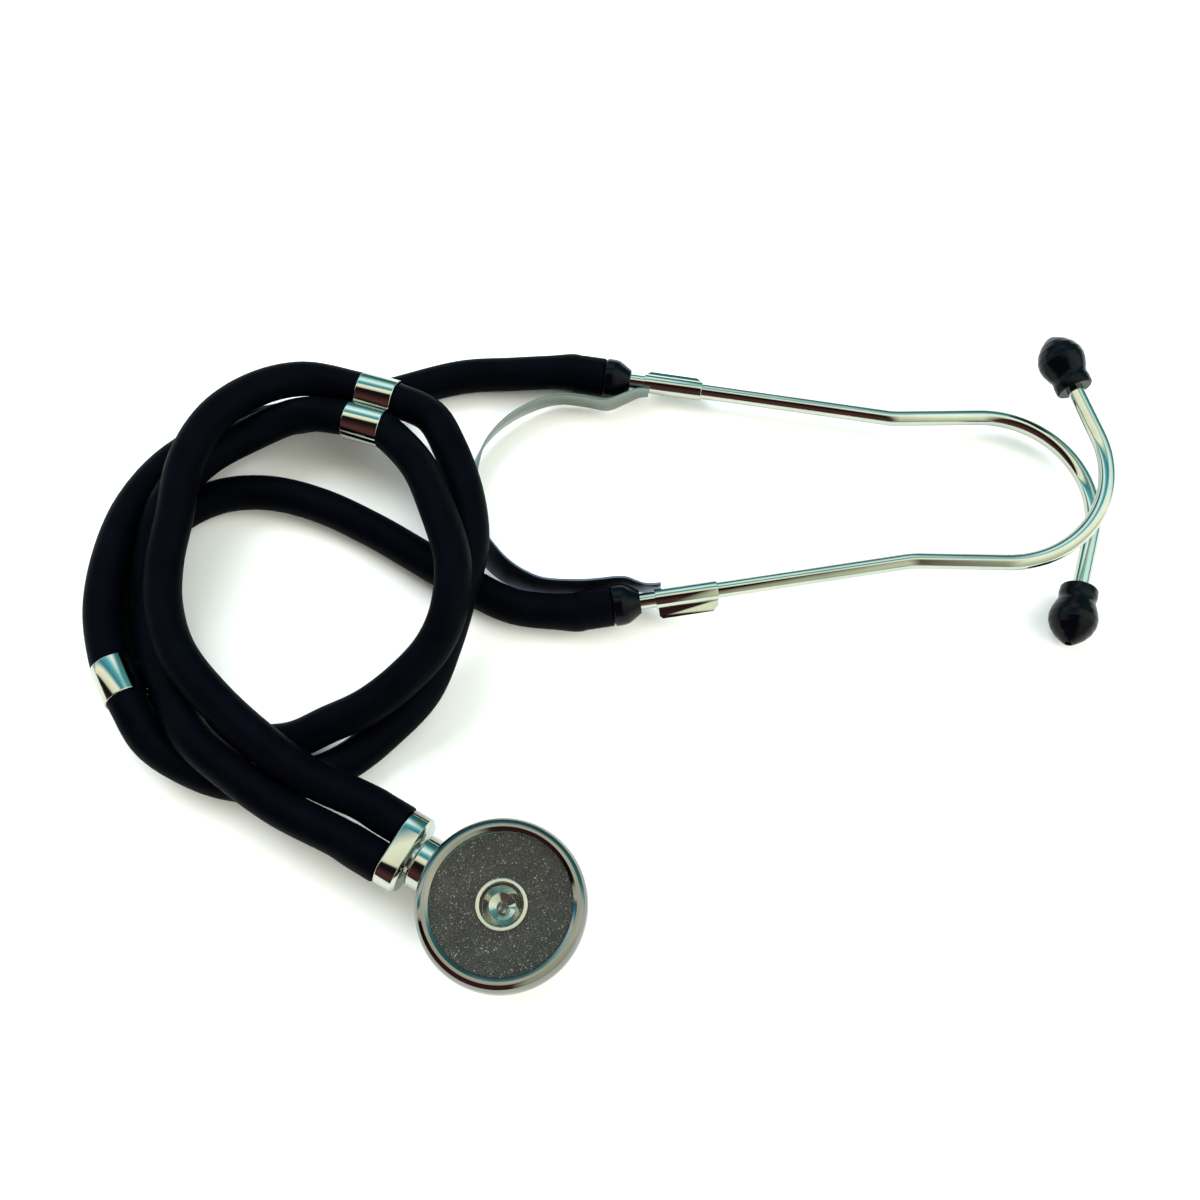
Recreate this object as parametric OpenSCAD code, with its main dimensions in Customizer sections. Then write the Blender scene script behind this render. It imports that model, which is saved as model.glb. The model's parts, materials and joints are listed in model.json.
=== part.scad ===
// Double-tube stethoscope with a two-sided chest piece, lying on a flat surface.
// Millimetres, +Z up, origin on the surface below the middle of the metal parts.

/* [Tubing] */
// Outside diameter of the two rubber tubes
tube_od = 11; // [10:0.5:11]
// Inside diameter of the two rubber tubes
tube_id = 4.6; // [4:0.2:5]

/* [Clips] */
// Length of the figure-eight clips along the tubes
clip_length = 12; // [8:1:16]
// Thickness of the clip strip
clip_wall = 0.6; // [0.5:0.1:0.8]

/* [Chest piece] */
// Outside diameter of the ring on the large side
large_ring_od = 45; // [44:0.5:46]
// Diameter of diaphragm that shows inside the large ring
large_face_d = 37.5; // [34:0.5:38]
// Outside diameter of the ring on the small side
small_ring_od = 34; // [33:0.5:36]
// Height of the whole head
head_h = 28; // [28:0.5:30]

/* [Stem] */
// Diameter of the barrel that the spindle turns in
barrel_d = 15.6; // [15:0.2:17]
// Diameter of the valve spindle
spindle_d = 10; // [9.6:0.2:10]
// Width of the stem block, across both tubes
block_w = 22.8; // [22:0.2:26]
// Height of the stem block
block_h = 13; // [12:0.5:15]
// Spacing of the two sound passages at the tube side of the block
port_spacing = 11.8; // [11:0.2:12.4]

/* [Ear side] */
// Outside diameter of the ear tubes
ear_tube_od = 5; // [4.6:0.1:5.2]
// Wall thickness of the ear tubes
ear_tube_wall = 0.6; // [0.5:0.1:0.8]
// Length of the straight part of an ear tube beyond its connector
ear_straight = 80.7; // [78:0.1:84]
// Radius of the large bend near the ear tip
ear_bend_r = 31.6; // [30:0.2:33]
// Angle of the large bend
ear_bend_angle = 109.6; // [106:0.2:111]
// Diameter of the ear tips
ear_tip_d = 14.4; // [12:0.2:15]
// Width of the leaf spring strip
leaf_w = 9.4; // [8:0.2:9.6]
// Thickness of the leaf spring strip
leaf_t = 0.8; // [0.5:0.1:0.8]

/* [Hidden] */
$fn = 96;
run_gap = 0.05;          // radial clearance of a shaft that turns
slip = 0.05;             // clearance between parts that are assembled and stay put

// From the layout's own origin to the middle of the box of the metal parts
layout_shift = [3.7, -2, 0];

// Chest piece: where its middle is, and which way its stem points
head_pos = [-72.8, -76, 0];
stem_angle = 150;
stem_z = head_h / 2;

block_near = 28.7;       // from the head's middle, along the stem
block_far = 35.6;
spindle_end = 9.5;       // how far the spindle passes the head's middle
detent_u = -6;           // place of the click stop along the stem
barb_length = 12;
barb_press = 2.6;        // depth of a barb in the block

// A point of the stem: u along it from the head's middle, v across it, w above its axis
function stem_point(u, v, w = 0) = head_pos + [
  u * cos(stem_angle) + v * sin(stem_angle),
  u * sin(stem_angle) - v * cos(stem_angle),
  stem_z + w];

// The two ports where the tubes push on, and the straight stretch before them
port_upper = stem_point(block_far, port_spacing / 2);
port_lower = stem_point(block_far, -port_spacing / 2);
lead_upper = stem_point(block_far + 15, port_spacing / 2);
lead_lower = stem_point(block_far + 15, -port_spacing / 2);

// Ear sides: small end of the connector, then yaw, pitch and roll of the ear tube
arm_left = [-37, 96.5, 6.5, -9.7, 0.3, 0];
arm_right = [-34.8, 17, 8.2, 7.4, 4.5, 4];
connector_face = -8.5;   // where the tube ends against the connector's shoulder

// A point on the axis of an arm, x beyond the small end of its connector
function arm_point(arm, x) = [arm[0], arm[1], arm[2]] + x * [
  cos(arm[4]) * cos(arm[3]), cos(arm[4]) * sin(arm[3]), sin(arm[4])];

// Route of the left tube, from its connector to the upper port of the block
route_left = concat([
  arm_point(arm_left, connector_face - 0.15), arm_point(arm_left, -21.5),
  [-76, 99.7, 5.7], [-93, 98.5, 5.6], [-113, 92.5, 5.6], [-132, 86, 5.6], [-151, 82, 6],
  [-168.5, 76, 7.5], [-182.5, 63.5, 10.5], [-190.5, 46.5, 14.5], [-193.5, 28.5, 17],
  [-193.5, 11, 17.3], [-189.5, -4.5, 16.8], [-181.5, -18.5, 16.8], [-174.3, -29, 13.5],
  [-162.5, -35.5, 7.5], [-150.5, -38.5, 5.6], [-136.5, -38.5, 5.6], [-121, -32.5, 5.6],
  [-108.5, -22, 6], [-98.8, -11, 7.5], [-93, 3, 11], [-89, 16, 16], [-85.8, 32, 17.5],
  [-88, 49, 17.5], [-93.7, 65, 17.5], [-100.3, 76.5, 17.5], [-111.2, 82.2, 17.5],
  [-124.8, 86.7, 17.5], [-141, 89.5, 18.7], [-155, 83.7, 21.7], [-165.5, 71, 26],
  [-171.5, 54.5, 27.5], [-173, 37, 26], [-174.5, 23, 24.5], [-173, 9, 24.5],
  [-167, -5.5, 25.3], [-156, -18.5, 24], [-142, -30.5, 21.5], [-128.5, -39.5, 18.2]],
  [lead_upper, port_upper]);

// Route of the right tube, from its connector to the lower port of the block
route_right = concat([
  arm_point(arm_right, connector_face - 0.15), arm_point(arm_right, -21.5),
  [-73, 16.5, 5.6], [-88, 24, 5.6], [-103.3, 33.5, 5.6], [-118, 42.5, 5.6], [-135, 51, 5.6],
  [-152, 55.5, 5.6], [-168, 54, 5.6], [-181.5, 45.5, 5.6], [-190, 32, 5.6], [-191.5, 14, 5.8],
  [-186.3, -2.7, 6.2], [-178.3, -16.5, 5.8], [-164, -21, 5.6], [-151, -26.2, 6], [-137, -26.5, 7.5],
  [-124.8, -22.8, 12], [-113.5, -18.8, 16], [-103.2, -11.5, 19], [-94.8, -2.8, 22.5],
  [-90.2, 7.6, 26.5], [-89.8, 22, 28], [-95.5, 40, 26], [-103, 57, 22], [-114.7, 71.5, 17.5],
  [-128.2, 76, 17.5], [-142, 77.8, 16], [-157, 71.5, 14.8], [-170.5, 61.5, 15.6],
  [-179, 46.5, 17.3], [-182, 30, 15], [-181.5, 15, 12], [-177.5, 0, 13.5], [-170, -14, 17],
  [-162, -28.3, 18.8], [-148.5, -39.5, 18], [-135, -48.5, 16.5]],
  [lead_lower, port_lower]);

// Clips: middle, direction of the tubes, and roll of the pair about that direction
clip_upper = [-118.9, 78.9, 17.5, 162, 0];
clip_lower = [-183.9, -10.6, 11.5, 120, 71];
clip_spacing = 11.1;

// Leaf spring: middle of the strip, how far its upper edge leans inward in degrees, and how
// much narrower it is than the rest of the strip
leaf_points = [
  [-31.2, 91.9, 6.9, 4, 4.6], [-34.4, 91.8, 6.7, 6, 2.8], [-38.4, 90.2, 6.4, 8, 1],
  [-42.6, 88.2, 6.3, 9, 0], [-46, 87.7, 6.3, 10, 0], [-52.2, 89, 6.3, 11, 0],
  [-59.4, 89.8, 6.3, 12, 0], [-65.6, 88.5, 6.3, 12, 0], [-72, 85.4, 6.2, 13, 0],
  [-77, 81.8, 6.2, 14, 0],
  [-81.4, 77.2, 6.1, 16, 0], [-85, 71.4, 6, 18, 0], [-87.2, 64, 5.9, 22, 0],
  [-88.2, 55, 5.8, 27, 0], [-87.6, 46.4, 5.8, 32, 0], [-84.6, 38.4, 5.9, 34, 0],
  [-80.8, 33, 5.9, 32, 0], [-76.4, 28.6, 5.9, 27, 0], [-70.6, 25, 5.9, 20, 0],
  [-63.8, 22.8, 5.9, 13, 0], [-53.8, 22.4, 6, 10, 0], [-47, 23, 6, 8, 0],
  [-42.6, 23.6, 6.2, 6, 0], [-39, 23.6, 6.6, 4, 0.6], [-36.2, 22.6, 7.2, 2, 1.6],
  [-33.4, 21.7, 8, 0, 3], [-30.6, 21.7, 8.6, 0, 4.4], [-28.6, 22, 8.8, 0, 5]];

kick_r = 25;             // first, outward bend of an ear tube
kick_angle = 10.3;
kick_straight = 25.6;
tip_straight = 16.8;
tip_grip = 10;           // depth of an ear tube in its ear tip
grip = 8;                // depth of an ear tube in its connector
left_pull = 3;           // how far the left ear tube is drawn out of its connector
left_tip_pull = 3;       // and the left ear tip along its ear tube
sleeve_from = 4.6;
sleeve_to = 23.6;
sleeve_r = 3.1;
flange_reach = 6.1;      // from the ear tube's axis
flange_dip = 20;         // of the flange below level

// ---- sweeping ----
function unit(v) = v / norm(v);
function tangent(p, i) = unit(p[min(i + 1, len(p) - 1)] - p[max(i - 1, 0)]);
function across(t) = unit(cross([0, 0, 1], t));

// One ring of points round a route point, in the plane square to the route
function ring_points(p, i, r, sides) =
  let (t = tangent(p, i), s = across(t), n = cross(t, s))
  [for (k = [0:sides - 1]) p[i] + r * (cos(360 * k / sides) * s + sin(360 * k / sides) * n)];

// A hollow tube along a route: rings of its outer wall, then rings of its inner wall.
// Its first rings are stretched over the barb of a connector.
module hose(route, r_out, r_in, stretch, stretched_rings = 2, sides = 12) {
  rings = len(route);
  inner = rings * sides;
  function at(wall, i, k) = wall + i * sides + k % sides;
  points = concat(
    [for (i = [0:rings - 1])
      each ring_points(route, i, r_out + (i < stretched_rings ? stretch[0] : 0), sides)],
    [for (i = [0:rings - 1])
      each ring_points(route, i, r_in + (i < stretched_rings ? stretch[1] : 0), sides)]);
  faces = concat(
    [for (i = [0:rings - 2], k = [0:sides - 1])
      [at(0, i, k), at(0, i, k + 1), at(0, i + 1, k + 1), at(0, i + 1, k)]],
    [for (i = [0:rings - 2], k = [0:sides - 1])
      [at(inner, i, k), at(inner, i + 1, k), at(inner, i + 1, k + 1), at(inner, i, k + 1)]],
    [for (k = [0:sides - 1])
      [at(0, 0, k), at(inner, 0, k), at(inner, 0, k + 1), at(0, 0, k + 1)]],
    [for (k = [0:sides - 1])
      [at(0, rings - 1, k), at(0, rings - 1, k + 1),
       at(inner, rings - 1, k + 1), at(inner, rings - 1, k)]]);
  polyhedron(points, faces, convexity = 10);
}

// A strip along points [x, y, z, lean, narrower]: four corners at each point
module strip(points, width, thickness) {
  path = [for (p = points) [p[0], p[1], p[2]]];
  stations = len(path);
  corners = [for (i = [0:stations - 1])
    let (t = tangent(path, i), s = across(t),
         w = cos(points[i][3]) * [0, 0, 1] + sin(points[i][3]) * s,
         n = cross(t, w))
    each [for (c = [[1, 1], [1, -1], [-1, -1], [-1, 1]])
      path[i] + c[0] * (width - points[i][4]) / 2 * w + c[1] * thickness / 2 * n]];
  faces = concat(
    [for (i = [0:stations - 2], k = [0:3])
      [i * 4 + k, i * 4 + (k + 1) % 4, i * 4 + 4 + (k + 1) % 4, i * 4 + 4 + k]],
    [[3, 2, 1, 0], [for (k = [0:3]) stations * 4 - 4 + k]]);
  polyhedron(corners, faces, convexity = 6);
}

// ---- placing ----
module placed() { translate(layout_shift) children(); }

// X along the stem away from the head, Y across it, Z up, origin in the head's middle
module on_stem() {
  placed() translate(head_pos + [0, 0, stem_z]) rotate([0, 0, stem_angle]) children();
}

// Origin on the surface below the head's middle
module on_head() { placed() translate(head_pos) children(); }

// X along the ear tube; the left side is the mirror image of the right one
module on_arm(arm, mirrored) {
  placed() translate([arm[0], arm[1], arm[2]]) rotate([arm[5], -arm[4], arm[3]])
    mirror([0, mirrored ? 1 : 0, 0]) children();
}

// A cylinder along X
module rod(x0, x1, r) { translate([x0, 0, 0]) rotate([0, 90, 0]) cylinder(h = x1 - x0, r = r); }

// A solid turned about X from points [x, r]
module turned(outline) {
  rotate([0, 90, 0]) rotate_extrude()
    polygon([for (p = outline) [p[1], p[0]]]);
}

// ---- tubing ----
tube_stretch = [0.7, 1.1]; // of the outer and inner radius over a connector

module tube_left() {
  color([0.06, 0.07, 0.09]) placed()
    hose(route_left, tube_od / 2, tube_id / 2, tube_stretch);
}
module tube_right() {
  color([0.06, 0.07, 0.09]) placed()
    hose(route_right, tube_od / 2, tube_id / 2, tube_stretch);
}

module clip(place) {
  bore_r = tube_od / 2 + 0.1;
  color([0.8, 0.83, 0.85]) placed()
    translate([place[0], place[1], place[2]]) rotate([0, 0, place[3]]) rotate([place[4], 0, 0])
      difference() {
        for (side = [-1, 1])
          translate([0, side * clip_spacing / 2, 0])
            rod(-clip_length / 2, clip_length / 2, bore_r + clip_wall);
        for (side = [-1, 1])
          translate([0, side * clip_spacing / 2, 0])
            rod(-clip_length, clip_length, bore_r);
      }
}
module tube_clip_upper() { clip(clip_upper); }
module tube_clip_lower() { clip(clip_lower); }

// ---- stem and valve ----
socket_depth = 3;        // of the spindle in the block
chamber_u = 33.2;        // cross passage in the block
passage_r = 1.3;
passage_v = 2.4;         // of each passage from the spindle's axis
chamfer = 1;

module block_body() {
  r = block_h / 2;
  side = block_w / 2 - r;
  for (s = [-1, 1]) translate([0, s * side, 0]) turned([
    [block_near, 0], [block_near, r - chamfer], [block_near + chamfer, r],
    [block_far - 0.6, r], [block_far, r - 0.6], [block_far, 0]]);
  rotate([90, 0, 0]) linear_extrude(2 * side, center = true) polygon([
    [block_near, chamfer - r], [block_near, r - chamfer], [block_near + chamfer, r],
    [block_far - 0.6, r], [block_far, r - 0.6], [block_far, 0.6 - r],
    [block_far - 0.6, -r], [block_near + chamfer, -r]]);
}
module stem_block() {
  color([0.78, 0.82, 0.84]) on_stem() difference() {
    block_body();
    rod(block_near - 1, block_near + socket_depth, spindle_d / 2 + slip);
    for (s = [-1, 1]) translate([0, s * port_spacing / 2, 0])
      rod(block_far - barb_press - 0.05, block_far + 1, 2 + slip);
    for (s = [-1, 1]) translate([0, s * passage_v, 0])
      rod(block_near, chamber_u, passage_r);
    translate([chamber_u, 0, 0]) rotate([90, 0, 0])
      cylinder(h = port_spacing, r = 1, center = true);
  }
}

module hose_barb(v) {
  color([0.72, 0.74, 0.76]) on_stem() translate([0, v, 0]) turned([
    [block_far - barb_press, passage_r], [block_far - barb_press, 2], [block_far, 2],
    [block_far + 0.4, 2.5], [block_far + 2, 2.5], [block_far + 2, 3], [block_far + 5, 2.5],
    [block_far + 5, 3], [block_far + 8, 2.5], [block_far + 8, 3],
    [block_far + barb_length, 2.2], [block_far + barb_length, passage_r]]);
}
module hose_barb_upper() { hose_barb(-port_spacing / 2); }
module hose_barb_lower() { hose_barb(port_spacing / 2); }

seal_u = 19;             // O-ring along the stem
seal_r = 0.75;
snap_u = 25;             // snap ring along the stem
snap_wire = 0.45;        // half of its wire
port_r = 1.5;
pocket_r = 1.3;
ball_r = 1.2;
ball_out = 5.45;         // how far the ball reaches from the stem's axis
pocket_floor = 3.6;      // of the spring pocket, on the far side of the axis

module valve_spindle() {
  r = spindle_d / 2;
  color([0.6, 0.62, 0.64]) on_stem() difference() {
    turned([
      [-spindle_end, 0], [-spindle_end, r - 0.8], [-spindle_end + 0.8, r],
      [seal_u - seal_r, r], [seal_u - seal_r, r - 1.3], [seal_u + seal_r, r - 1.3],
      [seal_u + seal_r, r], [snap_u - 0.55, r], [snap_u - 0.55, r - 0.5],
      [snap_u + 0.55, r - 0.5], [snap_u + 0.55, r],
      [block_near + socket_depth - 0.05, r], [block_near + socket_depth - 0.05, 0]]);
    for (s = [-1, 1]) translate([0, s * passage_v, 0]) rod(0, block_far, passage_r);
    rotate([90, 0, 0]) cylinder(h = 2 * (passage_v + passage_r), r = passage_r, center = true);
    cylinder(h = spindle_d, r = port_r);
    translate([detent_u, 0, -spindle_d]) cylinder(h = spindle_d + pocket_floor, r = pocket_r);
  }
}
module spindle_seal() {
  r_mid = spindle_d / 2 + run_gap - 0.02 - 0.62;
  color([0.1, 0.1, 0.1]) on_stem() translate([seal_u, 0, 0]) rotate([0, 90, 0])
    rotate_extrude() translate([r_mid, 0]) circle(r = 0.62);
}
module retaining_ring() {
  color([0.6, 0.62, 0.64]) on_stem() translate([snap_u, 0, 0]) rotate([0, 90, 0])
    rotate([0, 0, 15]) rotate_extrude(angle = 330)
      translate([spindle_d / 2 + 0.03, 0]) circle(r = snap_wire);
}
module detent_ball() {
  color([0.85, 0.86, 0.88]) on_stem() translate([detent_u, 0, -ball_out + ball_r])
    sphere(r = ball_r);
}
// Four flat turns stand for the coils of the small spring
module detent_spring() {
  low = -ball_out + 2 * ball_r + 0.05;
  turns = 4;
  wire = 0.2;
  color([0.7, 0.72, 0.74]) on_stem() translate([detent_u, 0, 0]) union() {
    for (i = [0:turns])
      translate([0, 0, low + wire + i * (pocket_floor - 0.1 - low - 2 * wire) / turns])
        rotate_extrude() translate([0.95, 0]) circle(r = wire, $fn = 24);
    for (i = [0:turns - 1])
      translate([0.95 * (i % 2 == 0 ? 1 : -1), 0,
                 low + wire + i * (pocket_floor - 0.1 - low - 2 * wire) / turns])
        cylinder(h = (pocket_floor - 0.1 - low - 2 * wire) / turns, r = wire, $fn = 24);
  }
}

// ---- head ----
module head_body() {
  top = head_h;
  rim_r = large_ring_od / 2 - 0.5;
  large_spigot = large_ring_od / 2 - 1.6;
  small_spigot = small_ring_od / 2 - 1.4;
  bore_r = spindle_d / 2 + run_gap;
  color([0.55, 0.54, 0.52]) difference() {
    union() {
      on_head() rotate_extrude() polygon([
        [0, 2], [small_spigot, 2], [small_spigot, 5.5], [small_ring_od / 2 - 0.2, 5.6],
        [small_ring_od / 2, 6.2], [small_ring_od / 2 - 0.2, 7.2], [14.5, 8.4], [12.8, 9.8],
        [12, 11.6], [12, 13.6], [12.8, 15.6], [14.6, 17.4], [18, 18.8], [rim_r - 0.6, 19.6],
        [rim_r, 20.4], [rim_r, 21.5], [rim_r - 0.4, 21.9], [large_spigot, 21.9],
        [large_spigot, top - 2.05], [0, top - 2.05]]);
      on_stem() turned([[-12, 0], [-12, barrel_d / 2 - 1], [-11, barrel_d / 2],
        [26.8, barrel_d / 2], [27.6, barrel_d / 2 - 0.8], [27.6, 0]]);
    }
    // dish of the large side, with its raised ring and the bowl in it
    on_head() rotate_extrude() polygon([
      [0, top + 1], [0, 20.4], [port_r, 20.4], [3.6, 21.4], [5.2, 23], [5.9, 24.8], [6.9, 24.8],
      [7.2, 23.4], [13, 24], [18.9, 25], [19.2, 25.4], [19.2, top + 1]]);
    // dish of the small side
    on_head() rotate_extrude() polygon([
      [0, 0], [0, 7.4], [port_r, 7.4], [3.2, 6.6], [4.4, 5], [5, 3.6], [5.8, 3.6],
      [6.2, 4.4], [10, 3.9], [13.2, 3.2], [13.2, 0]]);
    // sound holes from both dishes to the spindle
    on_head() translate([0, 0, 1]) cylinder(h = top - 2, r = port_r);
    on_stem() rod(-spindle_end - 0.7, 30, bore_r);
    // groove of the snap ring and of the click ball, with a deeper rest on each side
    on_stem() turned([[snap_u - 0.6, 0], [snap_u - 0.6, bore_r + 0.6],
      [snap_u + 0.6, bore_r + 0.6], [snap_u + 0.6, 0]]);
    on_stem() translate([detent_u, 0, 0]) rotate([0, 90, 0]) rotate_extrude()
      translate([ball_out - ball_r, 0]) circle(r = ball_r + 0.1);
    for (s = [-1, 1]) on_stem() translate([detent_u, 0, s * (ball_out - ball_r + 0.3)])
      sphere(r = ball_r + 0.05);
  }
}

module large_ring() {
  r = large_ring_od / 2;
  face_r = large_face_d / 2;
  color([0.35, 0.2, 0.17]) on_head() rotate_extrude() polygon([
    [r - 1.55, 21.95], [r - 0.5, 21.95], [r, 22.4], [r + 0.3, 23.4], [r + 0.3, 25.2], [r, 26.4],
    [r - 0.7, 27.4], [r - 1.7, head_h], [r - 2.6, head_h], [face_r + 0.2, 27.45], [face_r, 27.2],
    [r - 1.55, 27.2]]);
}
module large_diaphragm() {
  color([0.8, 0.8, 0.8, 0.4]) on_head() translate([0, 0, 26.75])
    cylinder(h = 0.4, r = large_ring_od / 2 - 1.65);
}
module large_gasket() {
  color([0.15, 0.15, 0.16]) on_head() translate([0, 0, 26]) rotate_extrude()
    polygon([[19.2, 0], [large_ring_od / 2 - 1.65, 0], [large_ring_od / 2 - 1.65, 0.7],
      [19.2, 0.7]]);
}
module small_ring() {
  r = small_ring_od / 2;
  color([0.35, 0.2, 0.17]) on_head() rotate_extrude() polygon([
    [r - 1.35, 5.4], [r - 0.1, 5.4], [r, 4.8], [r, 3], [r - 0.3, 1.4], [r - 1, 0.4], [r - 1.8, 0],
    [r - 2.4, 0], [13.9, 0.5], [13.9, 0.8], [r - 1.35, 0.8]]);
}
module small_diaphragm() {
  color([0.8, 0.8, 0.8, 0.4]) on_head() translate([0, 0, 0.85])
    cylinder(h = 0.4, r = small_ring_od / 2 - 1.45);
}
module small_gasket() {
  color([0.15, 0.15, 0.16]) on_head() translate([0, 0, 1.3]) rotate_extrude()
    polygon([[13.6, 0], [small_ring_od / 2 - 1.45, 0], [small_ring_od / 2 - 1.45, 0.65],
      [13.6, 0.65]]);
}

// ---- ear side ----
module leaf_spring() {
  color([0.62, 0.66, 0.7]) placed() strip(leaf_points, leaf_w, leaf_t);
}

module tube_connector(arm, mirrored) {
  bore_r = ear_tube_od / 2 + run_gap;
  color([0.05, 0.05, 0.06]) on_arm(arm, mirrored) turned([
    [-20.5, 1.5], [-20.5, 2.4], [-17.5, 3.1], [-17.5, 2.6], [-14.5, 3.1], [-14.5, 2.6],
    [-11.5, 3.1], [-11.5, 2.6], [connector_face, 2.6], [connector_face, 5.9], [-8, 6.3],
    [-5.5, 6.3], [-4, 6], [-2.5, 5.1], [0, 3.5], [0, bore_r], [-grip - 0.1, bore_r],
    [-grip - 0.1, 1.5]]);
}
module tube_connector_left() { tube_connector(arm_left, true); }
module tube_connector_right() { tube_connector(arm_right, false); }

// A rolled sleeve with a thin flange along its outer side, dipping from level
module spring_sleeve(arm, mirrored) {
  length = sleeve_to - sleeve_from;
  color([0.7, 0.75, 0.76]) on_arm(arm, mirrored) difference() {
    union() {
      rod(sleeve_from, sleeve_to, sleeve_r);
      rotate([flange_dip, 0, 0]) translate([sleeve_from, -flange_reach, -0.4])
        linear_extrude(0.8) polygon([[0.6, 0.8], [1.4, 0], [length - 2, 0],
          [length - 0.2, 1.8], [length - 0.2, flange_reach], [0.6, flange_reach]]);
    }
    rod(sleeve_from - 1, sleeve_to + 1, ear_tube_od / 2 + run_gap);
  }
}
module spring_sleeve_left() { spring_sleeve(arm_left, true); }
module spring_sleeve_right() { spring_sleeve(arm_right, false); }

// An ear tube in its own plane: straight, a small outward bend, straight, the large bend
// and straight again. The bends are a little thinner and reach into the straight walls.
bend_lap = 0.4;
bend_slack = 0.02;
function heading(angle) = [cos(angle), sin(angle), 0];
kick_centre = [ear_straight, -kick_r, 0];
kick_end = kick_centre + kick_r * heading(90 - kick_angle);
bend_start = kick_end + kick_straight * heading(-kick_angle);
bend_centre = bend_start + ear_bend_r * heading(90 - kick_angle);
last_heading = ear_bend_angle - kick_angle;
bend_end = bend_centre + ear_bend_r * heading(last_heading - 90);

module straight_wall(length) {
  r = ear_tube_od / 2;
  turned([[0, r - ear_tube_wall], [0, r], [length, r], [length, r - ear_tube_wall]]);
}
// A bend about a centre, from one direction of its radius to another
module bent_wall(centre, bend_r, from, to) {
  spare = bend_lap / bend_r * 180 / PI;
  translate(centre) rotate([0, 0, from - spare]) rotate_extrude(angle = to - from + 2 * spare)
    translate([bend_r, 0]) difference() {
      circle(r = ear_tube_od / 2 - bend_slack);
      circle(r = ear_tube_od / 2 - ear_tube_wall + bend_slack);
    }
}

module after_bends() { translate(bend_end) rotate([0, 0, last_heading]) children(); }
module ear_tube(arm, mirrored, pull) {
  color([0.75, 0.82, 0.84]) on_arm(arm, mirrored) translate([pull, 0, 0]) union() {
    translate([-grip, 0, 0]) straight_wall(ear_straight + grip);
    bent_wall(kick_centre, kick_r, 90 - kick_angle, 90);
    translate(kick_end) rotate([0, 0, -kick_angle]) straight_wall(kick_straight);
    bent_wall(bend_centre, ear_bend_r, -90 - kick_angle, last_heading - 90);
    after_bends() straight_wall(tip_straight + tip_grip);
  }
}
module ear_tube_left() { ear_tube(arm_left, true, left_pull); }
module ear_tube_right() { ear_tube(arm_right, false, 0); }

module ear_tip(arm, mirrored, pull, tip_pull) {
  r = ear_tip_d / 2;
  bore_r = ear_tube_od / 2 + slip;
  color([0.05, 0.05, 0.06]) on_arm(arm, mirrored) translate([pull, 0, 0]) after_bends()
    translate([tip_straight + tip_pull, 0, 0]) turned([
      [0, bore_r], [0, 5.2], [0.5, 5.6], [2.6, 5.7], [4, 5.5], [5, 5.6], [6.4, 6.2],
      [8.4, r - 0.3], [10.2, r], [12.2, r - 0.2], [14.4, r - 1.1], [16.4, r - 2.6],
      [18, r - 4.4], [19, 1.4], [19, 1], [tip_grip + 0.1, 1], [tip_grip + 0.1, bore_r]]);
}
module ear_tip_left() { ear_tip(arm_left, true, left_pull, left_tip_pull); }
module ear_tip_right() { ear_tip(arm_right, false, 0, 0); }

tube_left();
tube_right();
tube_clip_upper();
tube_clip_lower();
stem_block();
hose_barb_upper();
hose_barb_lower();
valve_spindle();
spindle_seal();
retaining_ring();
detent_ball();
detent_spring();
head_body();
large_ring();
large_diaphragm();
large_gasket();
small_ring();
small_diaphragm();
small_gasket();
leaf_spring();
spring_sleeve_left();
tube_connector_left();
ear_tube_left();
ear_tip_left();
spring_sleeve_right();
tube_connector_right();
ear_tube_right();
ear_tip_right();
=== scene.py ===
"""Two-tube stethoscope: the visible model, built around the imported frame.

Lengths are in millimetres in the object's own layout and are turned into the frame's metres
by TO_FRAME. Pieces that stand for CAD nodes repeat those nodes' sizes with finer forms.
"""
import json
import math

import bmesh
import bpy
from mathutils import Matrix, Vector


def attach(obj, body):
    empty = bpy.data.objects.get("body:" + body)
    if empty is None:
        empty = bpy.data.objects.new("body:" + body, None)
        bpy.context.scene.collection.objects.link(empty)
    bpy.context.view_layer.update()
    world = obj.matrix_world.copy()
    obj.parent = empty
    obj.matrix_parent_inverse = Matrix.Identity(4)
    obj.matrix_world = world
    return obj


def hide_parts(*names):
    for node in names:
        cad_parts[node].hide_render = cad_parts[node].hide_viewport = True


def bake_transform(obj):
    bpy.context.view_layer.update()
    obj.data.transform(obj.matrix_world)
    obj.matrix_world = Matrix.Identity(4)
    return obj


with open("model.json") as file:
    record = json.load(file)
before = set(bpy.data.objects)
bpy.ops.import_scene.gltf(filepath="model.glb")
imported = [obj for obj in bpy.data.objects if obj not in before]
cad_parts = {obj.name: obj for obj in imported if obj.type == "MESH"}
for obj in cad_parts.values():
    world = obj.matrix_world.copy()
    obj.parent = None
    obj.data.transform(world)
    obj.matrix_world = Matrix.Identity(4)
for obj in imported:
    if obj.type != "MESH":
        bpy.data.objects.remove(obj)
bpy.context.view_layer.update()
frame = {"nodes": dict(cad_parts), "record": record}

# ---------------------------------------------------------------- layout and sizes, in mm
MM = 0.001
LAYOUT_SHIFT = Vector((3.7, -2.0, 0.0))
TO_FRAME = Matrix.Scale(MM, 4) @ Matrix.Translation(LAYOUT_SHIFT)

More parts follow.
